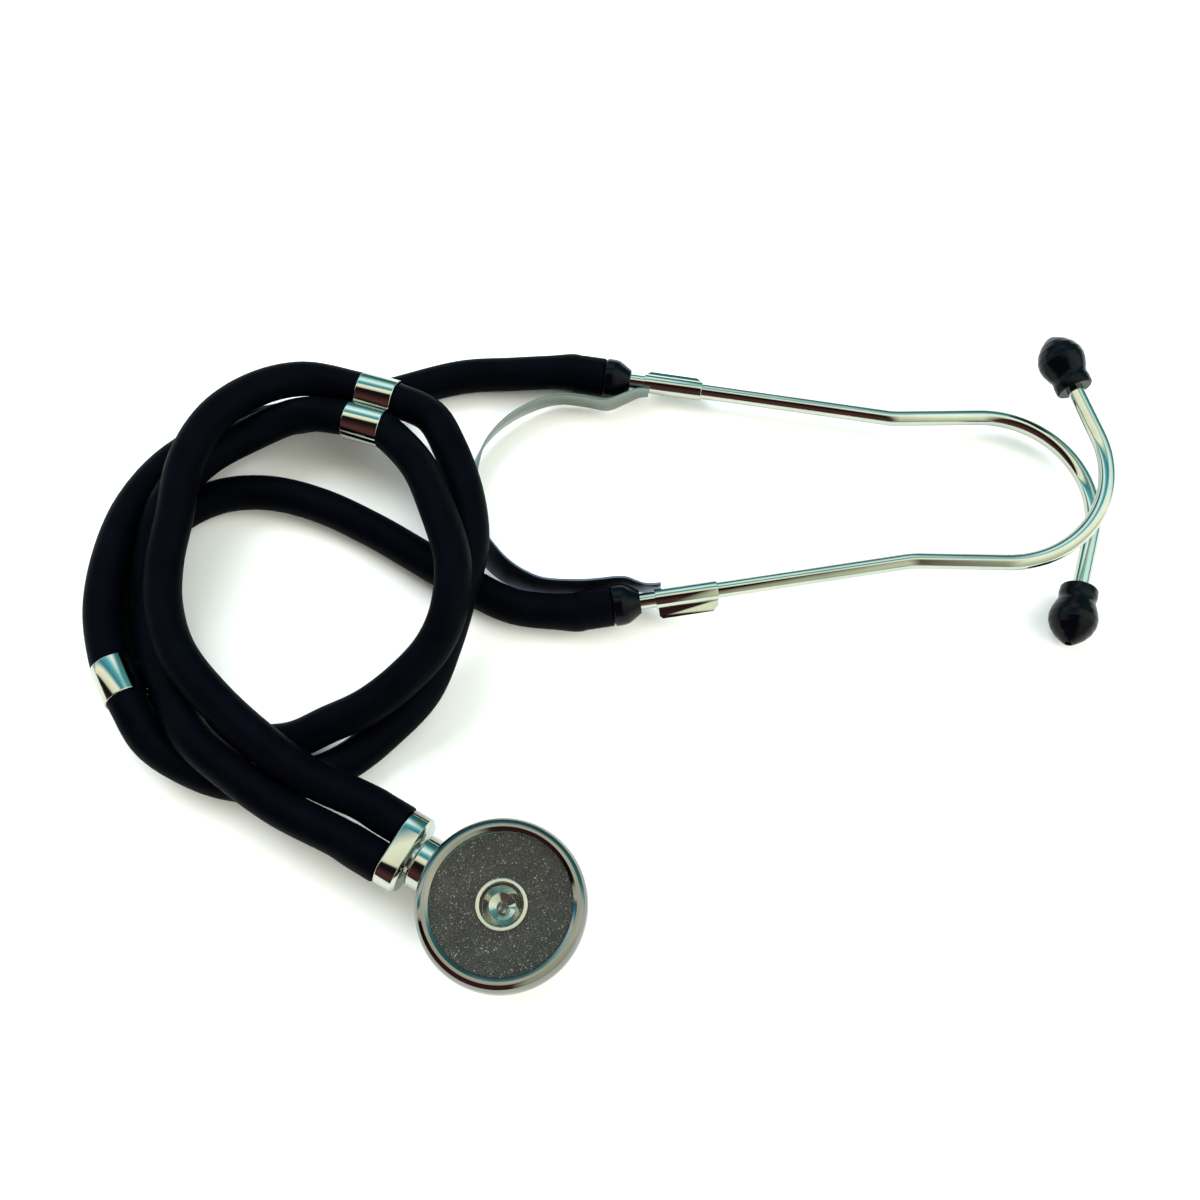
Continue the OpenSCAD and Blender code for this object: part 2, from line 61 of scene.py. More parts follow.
TUBE_R = 5.5
HEAD = Vector((-72.8, -76.0, 0.0))
STEM_YAW = 150               # degrees, from the head to the block
STEM_Z = 14.0
BLOCK_NEAR = 28.7            # along the stem: the block's face to the head
BLOCK_FAR = 35.6             # and its face to the tubes
BLOCK_W = 22.8
BLOCK_H = 13.0
PORT_SPACING = 11.8
EAR_R = 2.5
CONNECTOR_FACE = -8.5        # along an ear side: where the rubber tube starts
SLEEVE_FROM = 4.6
SLEEVE_TO = 23.6
SLEEVE_R = 3.1
LEAF_W = 9.4
LEAF_T = 0.8
CLIP_LENGTH = 12.0
CLIP_SPACING = 11.1
CLIP_BORE = 5.6
CLIP_WALL = 0.6
CAMERA_AT = Vector((-47.0, -130.5, 357.0))
CAMERA_TILT = 23             # degrees from straight down
FLOOR_HALF = 3.0             # in metres


def x_rotation(degrees):
    return Matrix.Rotation(math.radians(degrees), 4, "X")


def y_rotation(degrees):
    return Matrix.Rotation(math.radians(degrees), 4, "Y")


def z_rotation(degrees):
    return Matrix.Rotation(math.radians(degrees), 4, "Z")


UP = Vector((0, 0, 1))
TURN_X = y_rotation(90)      # takes a shape turned about Z to one turned about X


class Arm:
    """One ear side: where its connector's small end is, and how its ear tube points."""

    def __init__(self, side, start, yaw, pitch, roll):
        self.side = side
        self.start = Vector(start)
        mirror = Matrix.Diagonal((1, -1 if side == "left" else 1, 1, 1))
        turn = z_rotation(yaw) @ y_rotation(-pitch) @ x_rotation(roll)
        self.local = Matrix.Translation(self.start) @ turn @ mirror
        self.matrix = TO_FRAME @ self.local

    def point(self, x):
        """A point on the connector's axis, in the layout."""
        return self.local @ Vector((x, 0, 0))


LEFT = Arm("left", (-37, 96.5, 6.5), -9.7, 0.3, 0)
RIGHT = Arm("right", (-34.8, 17, 8.2), 7.4, 4.5, 4)
ON_HEAD = TO_FRAME @ Matrix.Translation(HEAD)
STEM_LOCAL = Matrix.Translation(HEAD + Vector((0, 0, STEM_Z))) @ z_rotation(STEM_YAW)
ON_STEM = TO_FRAME @ STEM_LOCAL


def stem_point(u, v):
    """A point u along the stem from the head's middle and v across it, in the layout."""
    return STEM_LOCAL @ Vector((u, v, 0))


# ---------------------------------------------------------------- camera
camera = bpy.data.objects.new("camera", bpy.data.cameras.new("camera"))
camera.data.sensor_width = 36
camera.data.lens = 37.5
camera.data.clip_start = 0.01
camera.location = TO_FRAME @ CAMERA_AT
camera.rotation_euler = (math.radians(CAMERA_TILT), 0, 0)
bpy.context.scene.collection.objects.link(camera)
bpy.context.scene.camera = camera


# ---------------------------------------------------------------- node materials
def colour_ramp(tree, value, stops):
    """A colour ramp on a value, with stops (position, colour or grey), and its result."""
    node = tree.nodes.new("ShaderNodeValToRGB")
    elements = node.color_ramp.elements
    while len(elements) < len(stops):
        elements.new(0.5)
    for element, (position, colour) in zip(elements, stops):
        element.position = position
        grey = isinstance(colour, (int, float))
        element.color = (colour, colour, colour, 1) if grey else (*colour, 1)
    tree.links.new(value, node.inputs["Fac"])
    return node.outputs["Color"]


class Nodes:
    """A material under construction: its node tree and its Principled shader."""

    def __init__(self, name):
        self.material = bpy.data.materials.new(name)
        self.material.use_nodes = True
        self.tree = self.material.node_tree
        self.shader = self.tree.nodes["Principled BSDF"]
        self.place = self.add("ShaderNodeTexCoord").outputs["Object"]

    def add(self, kind, **settings):
        node = self.tree.nodes.new(kind)
        for key, value in settings.items():
            setattr(node, key, value)
        return node

    def link(self, out, into):
        self.tree.links.new(out, into)

    def set(self, **values):
        """Sets the shader's own sockets; words in a socket's name are joined by _."""
        for key, value in values.items():
            self.shader.inputs[key.replace("_", " ")].default_value = value

    def noise(self, scale, detail=3.0, roughness=0.5, stretch=None):
        node = self.add("ShaderNodeTexNoise")
        node.inputs["Scale"].default_value = scale
        node.inputs["Detail"].default_value = detail
        node.inputs["Roughness"].default_value = roughness
        place = self.place
        if stretch:
            mapping = self.add("ShaderNodeMapping")
            mapping.inputs["Scale"].default_value = stretch
            self.link(place, mapping.inputs["Vector"])
            place = mapping.outputs["Vector"]
        self.link(place, node.inputs["Vector"])
        return node.outputs["Fac"]

    def ramp(self, value, *stops):
        """A colour ramp in this material; see colour_ramp."""
        return colour_ramp(self.tree, value, stops)

    def bump(self, height, strength, distance, normal=None):
        node = self.add("ShaderNodeBump")
        node.inputs["Strength"].default_value = strength
        node.inputs["Distance"].default_value = distance
        self.link(height, node.inputs["Height"])
        if normal:
            self.link(normal, node.inputs["Normal"])
        return node.outputs["Normal"]


def rubber_material(name, dark, light, roughness):
    """Matt black rubber: slightly cloudy colour and gloss, and a fine grain."""
    m = Nodes(name)
    cloud = m.noise(90, 4)
    m.link(m.ramp(cloud, (0.3, dark), (0.75, light)), m.shader.inputs["Base Color"])
    m.link(m.ramp(m.noise(260, 5), (0.25, roughness - 0.06), (0.8, roughness + 0.08)),
           m.shader.inputs["Roughness"])
    grain = m.bump(m.noise(2600, 2), 0.12, 0.0001)
    m.link(m.bump(m.noise(120, 2), 0.10, 0.0004, grain), m.shader.inputs["Normal"])
    m.set(Specular_IOR_Level=0.02)
    return m.material


def metal_material(name, dark, light, low, high, brush=None):
    """Metal with faint smears in its gloss, and hairline scratches or, with brush, tool marks."""
    m = Nodes(name)
    m.link(m.ramp(m.noise(60, 3), (0.3, dark), (0.7, light)), m.shader.inputs["Base Color"])
    m.link(m.ramp(m.noise(320, 4), (0.3, low), (0.75, high)), m.shader.inputs["Roughness"])
    lines = m.noise(900, 3, 0.6, brush or (1, 6, 6))
    m.link(m.bump(lines, 0.05 if brush is None else 0.25, 0.00003), m.shader.inputs["Normal"])
    m.set(Metallic=1.0)
    return m.material


PAINTED_VIOLET_Y, PAINTED_GREEN_Y = 0.03, 0.075          # in metres: where the strip's painted reflection colour starts and ends


def spring_material(name):
    """Spring steel rolled along its length, with a painted reflection: violet grey at the near
    side, greener at the far.
    """
    m = Nodes(name)
    parts = m.add("ShaderNodeSeparateXYZ")
    m.link(m.place, parts.inputs["Vector"])
    along_y = m.add("ShaderNodeMapRange")
    along_y.inputs["From Min"].default_value = PAINTED_VIOLET_Y
    along_y.inputs["From Max"].default_value = PAINTED_GREEN_Y
    m.link(parts.outputs["Y"], along_y.inputs["Value"])
    # painted reflection: violet grey at low y, greener at high y
    m.link(m.ramp(along_y.outputs["Result"], (0.0, (0.17, 0.18, 0.25)), (1.0, (0.20, 0.24, 0.22))),
           m.shader.inputs["Base Color"])
    m.link(m.ramp(m.noise(320, 4), (0.3, 0.32), (0.75, 0.42)), m.shader.inputs["Roughness"])
    m.link(m.bump(m.noise(900, 3, 0.6, (1, 1, 14)), 0.2, 0.00003), m.shader.inputs["Normal"])
    m.set(Metallic=1.0)
    return m.material


def plastic_material(name, dark, light, low, high):
    """Moulded glossy black plastic with a faint orange-peel surface."""
    m = Nodes(name)
    m.link(m.ramp(m.noise(150, 3), (0.3, dark), (0.8, light)), m.shader.inputs["Base Color"])
    m.link(m.ramp(m.noise(500, 4), (0.3, low), (0.75, high)), m.shader.inputs["Roughness"])
    m.link(m.bump(m.noise(700, 2), 0.08, 0.0001), m.shader.inputs["Normal"])
    m.set(Specular_IOR_Level=0.10, Coat_Weight=0.02, Coat_Roughness=0.12)
    return m.material


def dish_material(name):
    """The dark textured floor of a dish, with small bright grains."""
    m = Nodes(name)
    grains = m.add("ShaderNodeTexVoronoi")
    grains.inputs["Scale"].default_value = 3300
    m.link(m.place, grains.inputs["Vector"])
    body = m.ramp(m.noise(2200, 4), (0.35, (0.007, 0.006, 0.005)), (0.68, (0.046, 0.042, 0.034)))
    cloud = m.ramp(m.noise(110, 3), (0.35, 0.55), (0.7, 1.0))
    shade = m.add("ShaderNodeMix", data_type="RGBA", blend_type="MULTIPLY")
    shade.inputs["Factor"].default_value = 1.0
    m.link(body, shade.inputs["A"])
    m.link(cloud, shade.inputs["B"])
    spark = m.ramp(grains.outputs["Color"], (0.82, 0.0), (0.98, 0.9))
    mix = m.add("ShaderNodeMix", data_type="RGBA")
    m.link(spark, mix.inputs["Factor"])
    m.link(shade.outputs["Result"], mix.inputs["A"])
    mix.inputs["B"].default_value = (0.34, 0.33, 0.30, 1)
    m.link(mix.outputs["Result"], m.shader.inputs["Base Color"])
    m.link(m.ramp(m.noise(900, 3), (0.3, 0.4), (0.7, 0.6)), m.shader.inputs["Roughness"])
    m.link(m.bump(grains.outputs["Distance"], 0.4, 0.00015), m.shader.inputs["Normal"])
    m.set(Metallic=0.3, Specular_IOR_Level=0.2)
    return m.material


def diaphragm_material(name):
    """Clear plastic film with a faint haze."""
    m = Nodes(name)
    m.link(m.ramp(m.noise(220, 3), (0.3, (0.12, 0.12, 0.11)), (0.7, (0.18, 0.18, 0.17))),
           m.shader.inputs["Base Color"])
    m.link(m.ramp(m.noise(400, 3), (0.3, 0.05), (0.7, 0.14)), m.shader.inputs["Roughness"])
    m.set(Alpha=0.06, Specular_IOR_Level=0.25)
    return m.material


MATERIALS = {
    "tubing": rubber_material("black_rubber", (0.0005, 0.0007, 0.0015),
                              (0.001, 0.0013, 0.003), 0.5),
    "chrome": metal_material("chrome", (0.40, 0.42, 0.37), (0.47, 0.49, 0.42), 0.04, 0.09),
    "steel": metal_material("turned_steel", (0.45, 0.46, 0.47), (0.6, 0.61, 0.62), 0.2, 0.34,
                            (1, 12, 12)),
    "spring_steel": spring_material("spring_steel"),
    "ring_metal": metal_material("ring_metal", (0.17, 0.17, 0.16), (0.22, 0.22, 0.20), 0.05, 0.10),
    "diaphragm": diaphragm_material("clear_film"),
    "seal_rubber": rubber_material("seal_rubber", (0.01, 0.01, 0.01), (0.02, 0.02, 0.02), 0.6),
    "black_plastic": plastic_material("black_plastic", (0.0004, 0.0006, 0.0015),
                                      (0.0008, 0.001, 0.0025), 0.18, 0.27),
}
DISH = dish_material("dish_floor")

SLOTS = {row["node"]: row["material_slot"] for row in frame["record"]["subparts"]}
for node_name, node_object in frame["nodes"].items():
    node_object.data.materials.clear()
    node_object.data.materials.append(MATERIALS[SLOTS[node_name]])


# ---------------------------------------------------------------- shapes
def rounded(points, closed=False, steps=4):
    """A 2D outline of points (a, b, radius) with its corners rounded."""
    out = []
    count = len(points)
    for i, point in enumerate(points):
        here = Vector(point[:2])
        radius = point[2] if len(point) > 2 else 0
        if radius <= 0 or (not closed and i in (0, count - 1)):
            out.append(here)
            continue
        back = Vector(points[i - 1][:2]) - here
        ahead = Vector(points[(i + 1) % count][:2]) - here
        half = back.angle(ahead) / 2
        reach = min(radius / max(math.tan(half), 0.01), 0.48 * back.length, 0.48 * ahead.length)
        first = here + back.normalized() * reach
        last = here + ahead.normalized() * reach
        for k in range(steps + 1):
            t = k / steps
            out.append(first * (1 - t) ** 2 + here * 2 * t * (1 - t) + last * t * t)
    return out


def lathe(outline, closed, segments):
    """Vertices and faces of a shape turned about Z from an outline of (radius, height)."""
    verts = []
    rows = []
    for r, z in outline:
        if r < 1e-6:
            rows.append([len(verts)] * segments)
            verts.append(Vector((0, 0, z)))
            continue
        rows.append(list(range(len(verts), len(verts) + segments)))
        for k in range(segments):
            a = 2 * math.pi * k / segments
            verts.append(Vector((r * math.cos(a), r * math.sin(a), z)))
    faces = []
    pairs = list(zip(rows, rows[1:])) + ([(rows[-1], rows[0])] if closed else [])
    for low, high in pairs:
        for k in range(segments):
            n = (k + 1) % segments
            corners = [low[k], low[n], high[n], high[k]]
            face = [c for j, c in enumerate(corners) if c != corners[j - 1]]
            if len(face) > 2:
                faces.append(face)
    return verts, faces


def turned(outline, closed, segments):
    """A shape turned about Z from an outline of points (radius, height, rounding)."""
    return lathe(rounded(outline, closed), closed, segments)


def loft(rings, caps=True):
    """Vertices and faces through rings of points, each ring closed."""
    verts = [p for ring in rings for p in ring]
    size = len(rings[0])
    faces = []
    for i in range(len(rings) - 1):
        for k in range(size):
            n = (k + 1) % size
            faces.append([i * size + k, i * size + n, (i + 1) * size + n, (i + 1) * size + k])
    if caps:
        faces.append(list(range(size)))
        faces.append([len(verts) - size + k for k in range(size)])
    return verts, faces


def joined(*shapes):
    """Several (vertices, faces) as one."""
    verts = []
    faces = []
    for some_verts, some_faces in shapes:
        start = len(verts)
        verts += some_verts
        faces += [[start + i for i in face] for face in some_faces]
    return verts, faces


def moved(shape, matrix):
    """The shape with its vertices taken through a matrix."""
    return [matrix @ v for v in shape[0]], shape[1]


def smooth_path(points, per_span):
    """A smooth curve through the points (Catmull-Rom), with per_span steps to each span."""
    points = [Vector(p) for p in points]
    ends = [2 * points[0] - points[1]] + points + [2 * points[-1] - points[-2]]
    out = []
    for a, b, c, d in zip(ends, ends[1:], ends[2:], ends[3:]):
        for k in range(per_span):
            t = k / per_span
            out.append(0.5 * (2 * b + (c - a) * t + (2 * a - 5 * b + 4 * c - d) * t * t
                              + (3 * b - a - 3 * c + d) * t ** 3))
    return out + [points[-1].copy()]


def tangents(path):
    """The path's direction at each of its points."""
    last = len(path) - 1
    return [(path[min(i + 1, last)] - path[max(i - 1, 0)]).normalized()
            for i in range(last + 1)]


def lengths(path):
    """The distance along the path to each of its points."""
    out = [0.0]
    for a, b in zip(path, path[1:]):
        out.append(out[-1] + (b - a).length)
    return out


def swept(path, radii, sides=40):
    """A round bar along a path, with a radius at each point."""
    rings = []
    for point, along, radius in zip(path, tangents(path), radii):
        across = UP.cross(along).normalized()
        above = along.cross(across)
        rings.append([point + radius * (math.cos(a) * across + math.sin(a) * above)
                      for a in (2 * math.pi * k / sides for k in range(sides))])
    return loft(rings)


def piece(name, shape, matrix, material, sharp):
    """A mesh object in the frame from a shape in millimetres; sharp is in degrees."""
    verts, faces = shape
    mesh = bpy.data.meshes.new(name)
    mesh.from_pydata([matrix @ v for v in verts], [], faces)
    mesh.materials.append(material)
    bm = bmesh.new()
    bm.from_mesh(mesh)
    bmesh.ops.recalc_face_normals(bm, faces=bm.faces)
    bm.to_mesh(mesh)
    bm.free()
    mesh.shade_smooth()
    mesh.set_sharp_from_angle(angle=math.radians(sharp))
    obj = bpy.data.objects.new(name, mesh)
    bpy.context.scene.collection.objects.link(obj)
    return obj


def finish_piece(obj, body, node):
    """The piece rides on a body, if one is given, and stands for a CAD node, which it hides."""
    if body:
        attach(obj, body)
    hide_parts(node)


def bend_with(obj):
    """Bakes the piece's placement into its mesh."""
    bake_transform(obj)


# ---------------------------------------------------------------- rubber tubes
# Middle lines from a connector to the block, as in the CAD, with a point inside each clip
ROUTE_LEFT = [
    LEFT.point(CONNECTOR_FACE - 0.1), LEFT.point(-13), LEFT.point(-17), LEFT.point(-21.5),
    (-76, 99.7, 5.7), (-93, 98.5, 5.6), (-113, 92.5, 5.6), (-132, 86, 5.6), (-151, 82, 6),
    (-168.5, 76, 7.5), (-182.5, 63.5, 10.5), (-190.5, 46.5, 14.5), (-193.5, 28.5, 17),
    (-193.5, 11, 17.3), (-189.5, -4.5, 16.8), (-185.5, -11.5, 16.8), (-181.5, -18.5, 16.8),
    (-174.3, -29, 13.5), (-162.5, -35.5, 7.5), (-150.5, -38.5, 5.6), (-136.5, -38.5, 5.6),
    (-121, -32.5, 5.6), (-108.5, -22, 6), (-98.8, -11, 7.5), (-93, 3, 11), (-89, 16, 16),
    (-85.8, 32, 17.5), (-88, 49, 17.5), (-93.7, 65, 17.5), (-100.3, 76.5, 17.5),
    (-111.2, 82.2, 17.5), (-117.2, 84.2, 17.5), (-124.8, 86.7, 17.5), (-141, 89.5, 18.7),
    (-155, 83.7, 21.7), (-165.5, 71, 26), (-171.5, 54.5, 27.5), (-173, 37, 26),
    (-174.5, 23, 24.5), (-173, 9, 24.5), (-167, -5.5, 25.3), (-156, -18.5, 24),
    (-142, -30.5, 21.5), (-128.5, -39.5, 18.2),
    stem_point(BLOCK_FAR + 15, -PORT_SPACING / 2), stem_point(BLOCK_FAR + 7, -PORT_SPACING / 2),
    stem_point(BLOCK_FAR + 0.05, -PORT_SPACING / 2)]
ROUTE_RIGHT = [
    RIGHT.point(CONNECTOR_FACE - 0.1), RIGHT.point(-13), RIGHT.point(-17), RIGHT.point(-21.5),
    (-73, 16.5, 5.6), (-88, 24, 5.6), (-103.3, 33.5, 5.6), (-118, 42.5, 5.6), (-135, 51, 5.6),
    (-152, 55.5, 5.6), (-168, 54, 5.6), (-181.5, 45.5, 5.6), (-190, 32, 5.6), (-191.5, 14, 5.8),
    (-186.3, -2.7, 6.2), (-182.3, -9.6, 6), (-178.3, -16.5, 5.8), (-164, -21, 5.6),
    (-151, -26.2, 6), (-137, -26.5, 7.5), (-124.8, -22.8, 12), (-113.5, -18.8, 16),
    (-103.2, -11.5, 19), (-94.8, -2.8, 22.5), (-90.2, 7.6, 26.5), (-89.8, 22, 28),
    (-95.5, 40, 26), (-103, 57, 22), (-114.7, 71.5, 17.5), (-120.6, 73.5, 17.5),
    (-128.2, 76, 17.5), (-142, 77.8, 16), (-157, 71.5, 14.8), (-170.5, 61.5, 15.6),
    (-179, 46.5, 17.3), (-182, 30, 15), (-181.5, 15, 12), (-177.5, 0, 13.5), (-170, -14, 17),
    (-162, -28.3, 18.8), (-148.5, -39.5, 18), (-135, -48.5, 16.5),
    stem_point(BLOCK_FAR + 15, PORT_SPACING / 2), stem_point(BLOCK_FAR + 7, PORT_SPACING / 2),
    stem_point(BLOCK_FAR + 0.05, PORT_SPACING / 2)]
PATH_STEPS = 7               # between two points of a route
TUBE_STRETCH = 0.65          # more radius over a connector,
STRETCH_KEEPS = 7.0          # kept from the end for this far
STRETCH_FADES = 12.0         # and gone after this much more
BARB_STRETCH = 0.25          # the same over a barb, inside the other end
BARB_KEEPS = 9.0
BARB_FADES = 6.0
LIP_R = 0.7                  # rounding of the tube's ends


def eased(t):
    """From 0 to 1 with a soft start and end."""
    t = min(max(t, 0.0), 1.0)
    return t * t * (3 - 2 * t)


def tube_radius(s, total):
    """The tube's outer radius: wider over connector and barb, a soft lip at each end."""
    radius = TUBE_R + TUBE_STRETCH * (1 - eased((s - STRETCH_KEEPS) / STRETCH_FADES))
    for from_end in (s, total - s):
        if from_end < LIP_R:
            radius -= LIP_R - math.sqrt(max(LIP_R * LIP_R - (LIP_R - from_end) ** 2, 0))
    return radius + BARB_STRETCH * (1 - eased((total - s - BARB_KEEPS) / BARB_FADES))


def with_lips(path):
    """The path with a few more points close to its ends, where the lips are round."""
    steps = (0.06, 0.2, 0.42, LIP_R)
    first = (path[1] - path[0]).normalized()
    last = (path[-2] - path[-1]).normalized()
    return ([path[0]] + [path[0] + first * d for d in steps] + path[1:-1]
            + [path[-1] + last * d for d in reversed(steps)] + [path[-1]])


tubes = {}
for side, route in (("left", ROUTE_LEFT), ("right", ROUTE_RIGHT)):
    path = with_lips(smooth_path(route, PATH_STEPS))
    along = lengths(path)
    radii = [tube_radius(s, along[-1]) for s in along]
    tube = piece(f"rubber_tube_{side}", swept(path, radii), TO_FRAME, MATERIALS["tubing"], 60)
    finish_piece(tube, None, f"tube_{side}")
    bend_with(tube)
    tubes[side] = (tube, path)


# ---------------------------------------------------------------- tube clips
def figure_eight(x, radius):
    """A ring of points at x round two overlapping circles, with a soft valley between them."""
    apart = CLIP_SPACING / 2
    ring = []
    for k in range(144):
        a = 2 * math.pi * k / 144
        reach = (apart * math.sqrt(math.cos(a) ** 2 + 0.015)
                 + math.sqrt(radius ** 2 - (apart * math.sin(a)) ** 2))
        ring.append(Vector((x, reach * math.cos(a), reach * math.sin(a))))
    return ring


def clip_shape():
    """A figure-eight sleeve of thin strip, with rounded edges."""
    half = CLIP_LENGTH / 2
    outer = CLIP_BORE + CLIP_WALL
    section = rounded([(-half, CLIP_BORE, 0.15), (-half, outer, 0.3), (half, outer, 0.3),
                       (half, CLIP_BORE, 0.15)], closed=True)
    section.append(section[0])
    return loft([figure_eight(x, radius) for x, radius in section], caps=False)


# Middle, yaw and roll of each clip, in mm and degrees
CLIPS = {"upper": ((-118.9, 78.9, 17.5), 162, 0), "lower": ((-183.9, -10.6, 11.5), 120, 71)}
for name, (middle, yaw, roll) in CLIPS.items():
    matrix = TO_FRAME @ Matrix.Translation(middle) @ z_rotation(yaw) @ x_rotation(roll)
    clip = piece(f"figure_eight_clip_{name}", clip_shape(), matrix, MATERIALS["chrome"], 50)
    finish_piece(clip, "tubing", f"tube_clip_{name}")

for side, (tube, path) in tubes.items():
    line = [TO_FRAME @ p for p in path]
    line.reverse()


# ---------------------------------------------------------------- stem block
def racetrack(u, inset, steps=16):
    """A ring of points round the block's section at u, drawn in by inset."""
    r = BLOCK_H / 2
    side = BLOCK_W / 2 - r
    ring = []
    for centre, first in ((side, -90), (-side, 90)):
        for k in range(steps + 1):
            a = math.radians(first + 180 * k / steps)
            ring.append(Vector((u, centre + (r - inset) * math.cos(a), (r - inset) * math.sin(a))))
    return ring


block_outline = rounded([(BLOCK_NEAR, 4.0), (BLOCK_NEAR, 1.0, 0.2), (BLOCK_NEAR + 1.0, 0, 0.25),
                         (BLOCK_FAR - 0.7, 0, 0.5), (BLOCK_FAR, 0.7, 0.3), (BLOCK_FAR, 4.0)])
block = piece("socket_block", loft([racetrack(u, inset) for u, inset in block_outline]),
              ON_STEM, MATERIALS["chrome"], 28)
finish_piece(block, "tubing", "stem_block")


# ---------------------------------------------------------------- two-sided head
PORT_R = 1.5
# Half section of the head as (radius, height, rounding), round from the small side's bowl
HEAD_OUTLINE = [
    (PORT_R, 7.4, 0.1), (3.2, 6.6, 0.8), (4.4, 5, 0.8), (5, 3.6, 0.15), (5.8, 3.6, 0.15),
    (6.2, 4.4, 0.3), (10, 3.9, 2), (13.2, 3.2, 0.4), (13.2, 2, 0.1), (15.6, 2, 0.1),
    (15.6, 5.5, 0.1), (16.8, 5.6, 0.2), (17, 6.2, 0.4), (16.8, 7.2, 0.5), (14.5, 8.4, 1.5),
    (12.8, 9.8, 1.2), (12, 11.6, 1.5), (12, 13.6, 1.5), (12.8, 15.6, 1.5), (14.6, 17.4, 2),
    (18, 18.8, 2), (21.4, 19.6, 0.4), (22, 20.4, 0.5), (22, 21.5, 0.3), (21.6, 21.9, 0.2),
    (20.9, 21.9, 0.1), (20.9, 25.95, 0.1), (19.2, 25.95, 0.1), (19.2, 25.4, 0.2),
    (18.9, 25, 0.3)]
LARGE_FLOOR = [(18.9, 25, 0), (13, 24, 4), (7.2, 23.4, 0)]
LARGE_BOWL = [(7.2, 23.4, 0.2), (6.9, 24.8, 0.2), (5.9, 24.8, 0.2), (5.2, 23, 1), (3.6, 21.4, 1),
              (PORT_R, 20.4, 0.2), (PORT_R, 7.4, 0)]
DISH_FROM_R, DISH_TO_R = 7.1, 19.0       # where the large floor has its grainy finish
DISH_LOW, DISH_HIGH = 22.8, 25.2
BARREL_R = 7.8
BARREL_BORE = 5.1            # radius of the hole for the spindle
BARREL_END = -12             # along the stem: the closed end
BARREL_FACE = 27.6           # and the face to the block
BARREL_HIDDEN = 8            # nearer the head's axis than this, the head covers the barrel


def head_shape():
    """The head's turned body; the outline runs on through the dish to the port's wall."""
    outline = rounded(HEAD_OUTLINE) + rounded(LARGE_FLOOR, steps=8)[1:] + rounded(LARGE_BOWL)[1:-1]
    return lathe(outline, True, 144)


def barrel_shape():
    """The barrel where it stands out of the head: its short closed end, and the stem's side."""
    closed_end = [(0, BARREL_END), (BARREL_R - 1.2, BARREL_END, 0.8),
                  (BARREL_R, BARREL_END + 1, 0.8), (BARREL_R, -BARREL_HIDDEN),
                  (0, -BARREL_HIDDEN)]
    stem_side = [(0, BARREL_HIDDEN), (BARREL_R, BARREL_HIDDEN), (BARREL_R, BARREL_FACE - 0.8, 0.4),
                 (BARREL_R - 0.8, BARREL_FACE, 0.3), (BARREL_BORE, BARREL_FACE, 0.15),
                 (BARREL_BORE, BARREL_FACE - 3.6), (0, BARREL_FACE - 3.6)]
    return joined(*(moved(turned(outline, False, 72), TURN_X)
                    for outline in (closed_end, stem_side)))


to_stem = ON_HEAD.inverted() @ ON_STEM
head = piece("two_sided_head", joined(head_shape(), moved(barrel_shape(), to_stem)),
             ON_HEAD, MATERIALS["chrome"], 30)
head.data.materials.append(DISH)
head_axis = (ON_HEAD @ Vector((0, 0, 0))).xy
for polygon in head.data.polygons:
    radius = (polygon.center.xy - head_axis).length / MM
    on_floor = DISH_FROM_R < radius < DISH_TO_R and DISH_LOW < polygon.center.z / MM < DISH_HIGH
    if on_floor and polygon.normal.z > 0.3:
        polygon.material_index = 1
finish_piece(head, "head", "head_body")

RINGS = {
    "large": [(20.95, 21.95, 0.1), (22, 21.95, 0.2), (22.5, 22.4, 0.4), (22.8, 23.4, 0.7),
              (22.8, 25.2, 0.9), (22.5, 26.4, 0.9), (21.8, 27.4, 0.7), (20.8, 28, 0.4),
              (19.9, 28, 0.2), (18.95, 27.45, 0.15), (18.75, 27.2, 0.05), (20.95, 27.2, 0.05)],
    "small": [(15.65, 5.4, 0.1), (16.9, 5.4, 0.2), (17, 4.8, 0.4), (17, 3, 0.8), (16.7, 1.4, 0.7),
              (16, 0.4, 0.5), (15.2, 0, 0.2), (14.6, 0, 0.1), (13.9, 0.5, 0.1), (13.9, 0.8, 0.05),
              (15.65, 0.8, 0.05)]}
for side, outline in RINGS.items():
    ring = piece(f"{side}_side_ring", turned(outline, True, 144), ON_HEAD,
                 MATERIALS["ring_metal"], 30)
    finish_piece(ring, "head", f"{side}_ring")

# Radius, lower face and upper face of each film; its rim is a little thicker
FILMS = {"large": (20.85, 26.75, 27.15), "small": (15.55, 0.85, 1.25)}
FILM_RIM = 2.3
FILM_STEP = 0.06
for side, (radius, low, high) in FILMS.items():
    outline = [(0, low), (radius, low, 0.08), (radius, high, 0.08), (radius - FILM_RIM, high, 0.2),
               (radius - FILM_RIM - 0.3, high - FILM_STEP, 0.2), (0, high - FILM_STEP)]
    film = piece(f"{side}_film", turned(outline, False, 144), ON_HEAD,
                 MATERIALS["diaphragm"], 40)
    finish_piece(film, "head", f"{side}_diaphragm")


# ---------------------------------------------------------------- ear sides
# An ear tube runs straight, kicks outward, runs straight and bends round to the ear tip
EAR_STRAIGHT = 80.7
KICK_R = 25.0
KICK_ANGLE = 10.3            # degrees
KICK_STRAIGHT = 25.6
EAR_BEND_R = 31.6
EAR_BEND_ANGLE = 109.6       # degrees
LAST_HEADING = EAR_BEND_ANGLE - KICK_ANGLE
TIP_STRAIGHT = 16.8          # to the ear tip's collar
IN_TIP = 9                   # length inside the ear tip
GRIP = 7.8                   # and inside the connector
PULL = {"left": 3.0, "right": 0.0}       # of an ear tube out of its connector
TIP_PULL = {"left": 3.0, "right": 0.0}   # of an ear tip along its ear tube


def heading(degrees):
    """The direction at an angle in the ear tube's own plane."""
    a = math.radians(degrees)
    return Vector((math.cos(a), math.sin(a), 0))


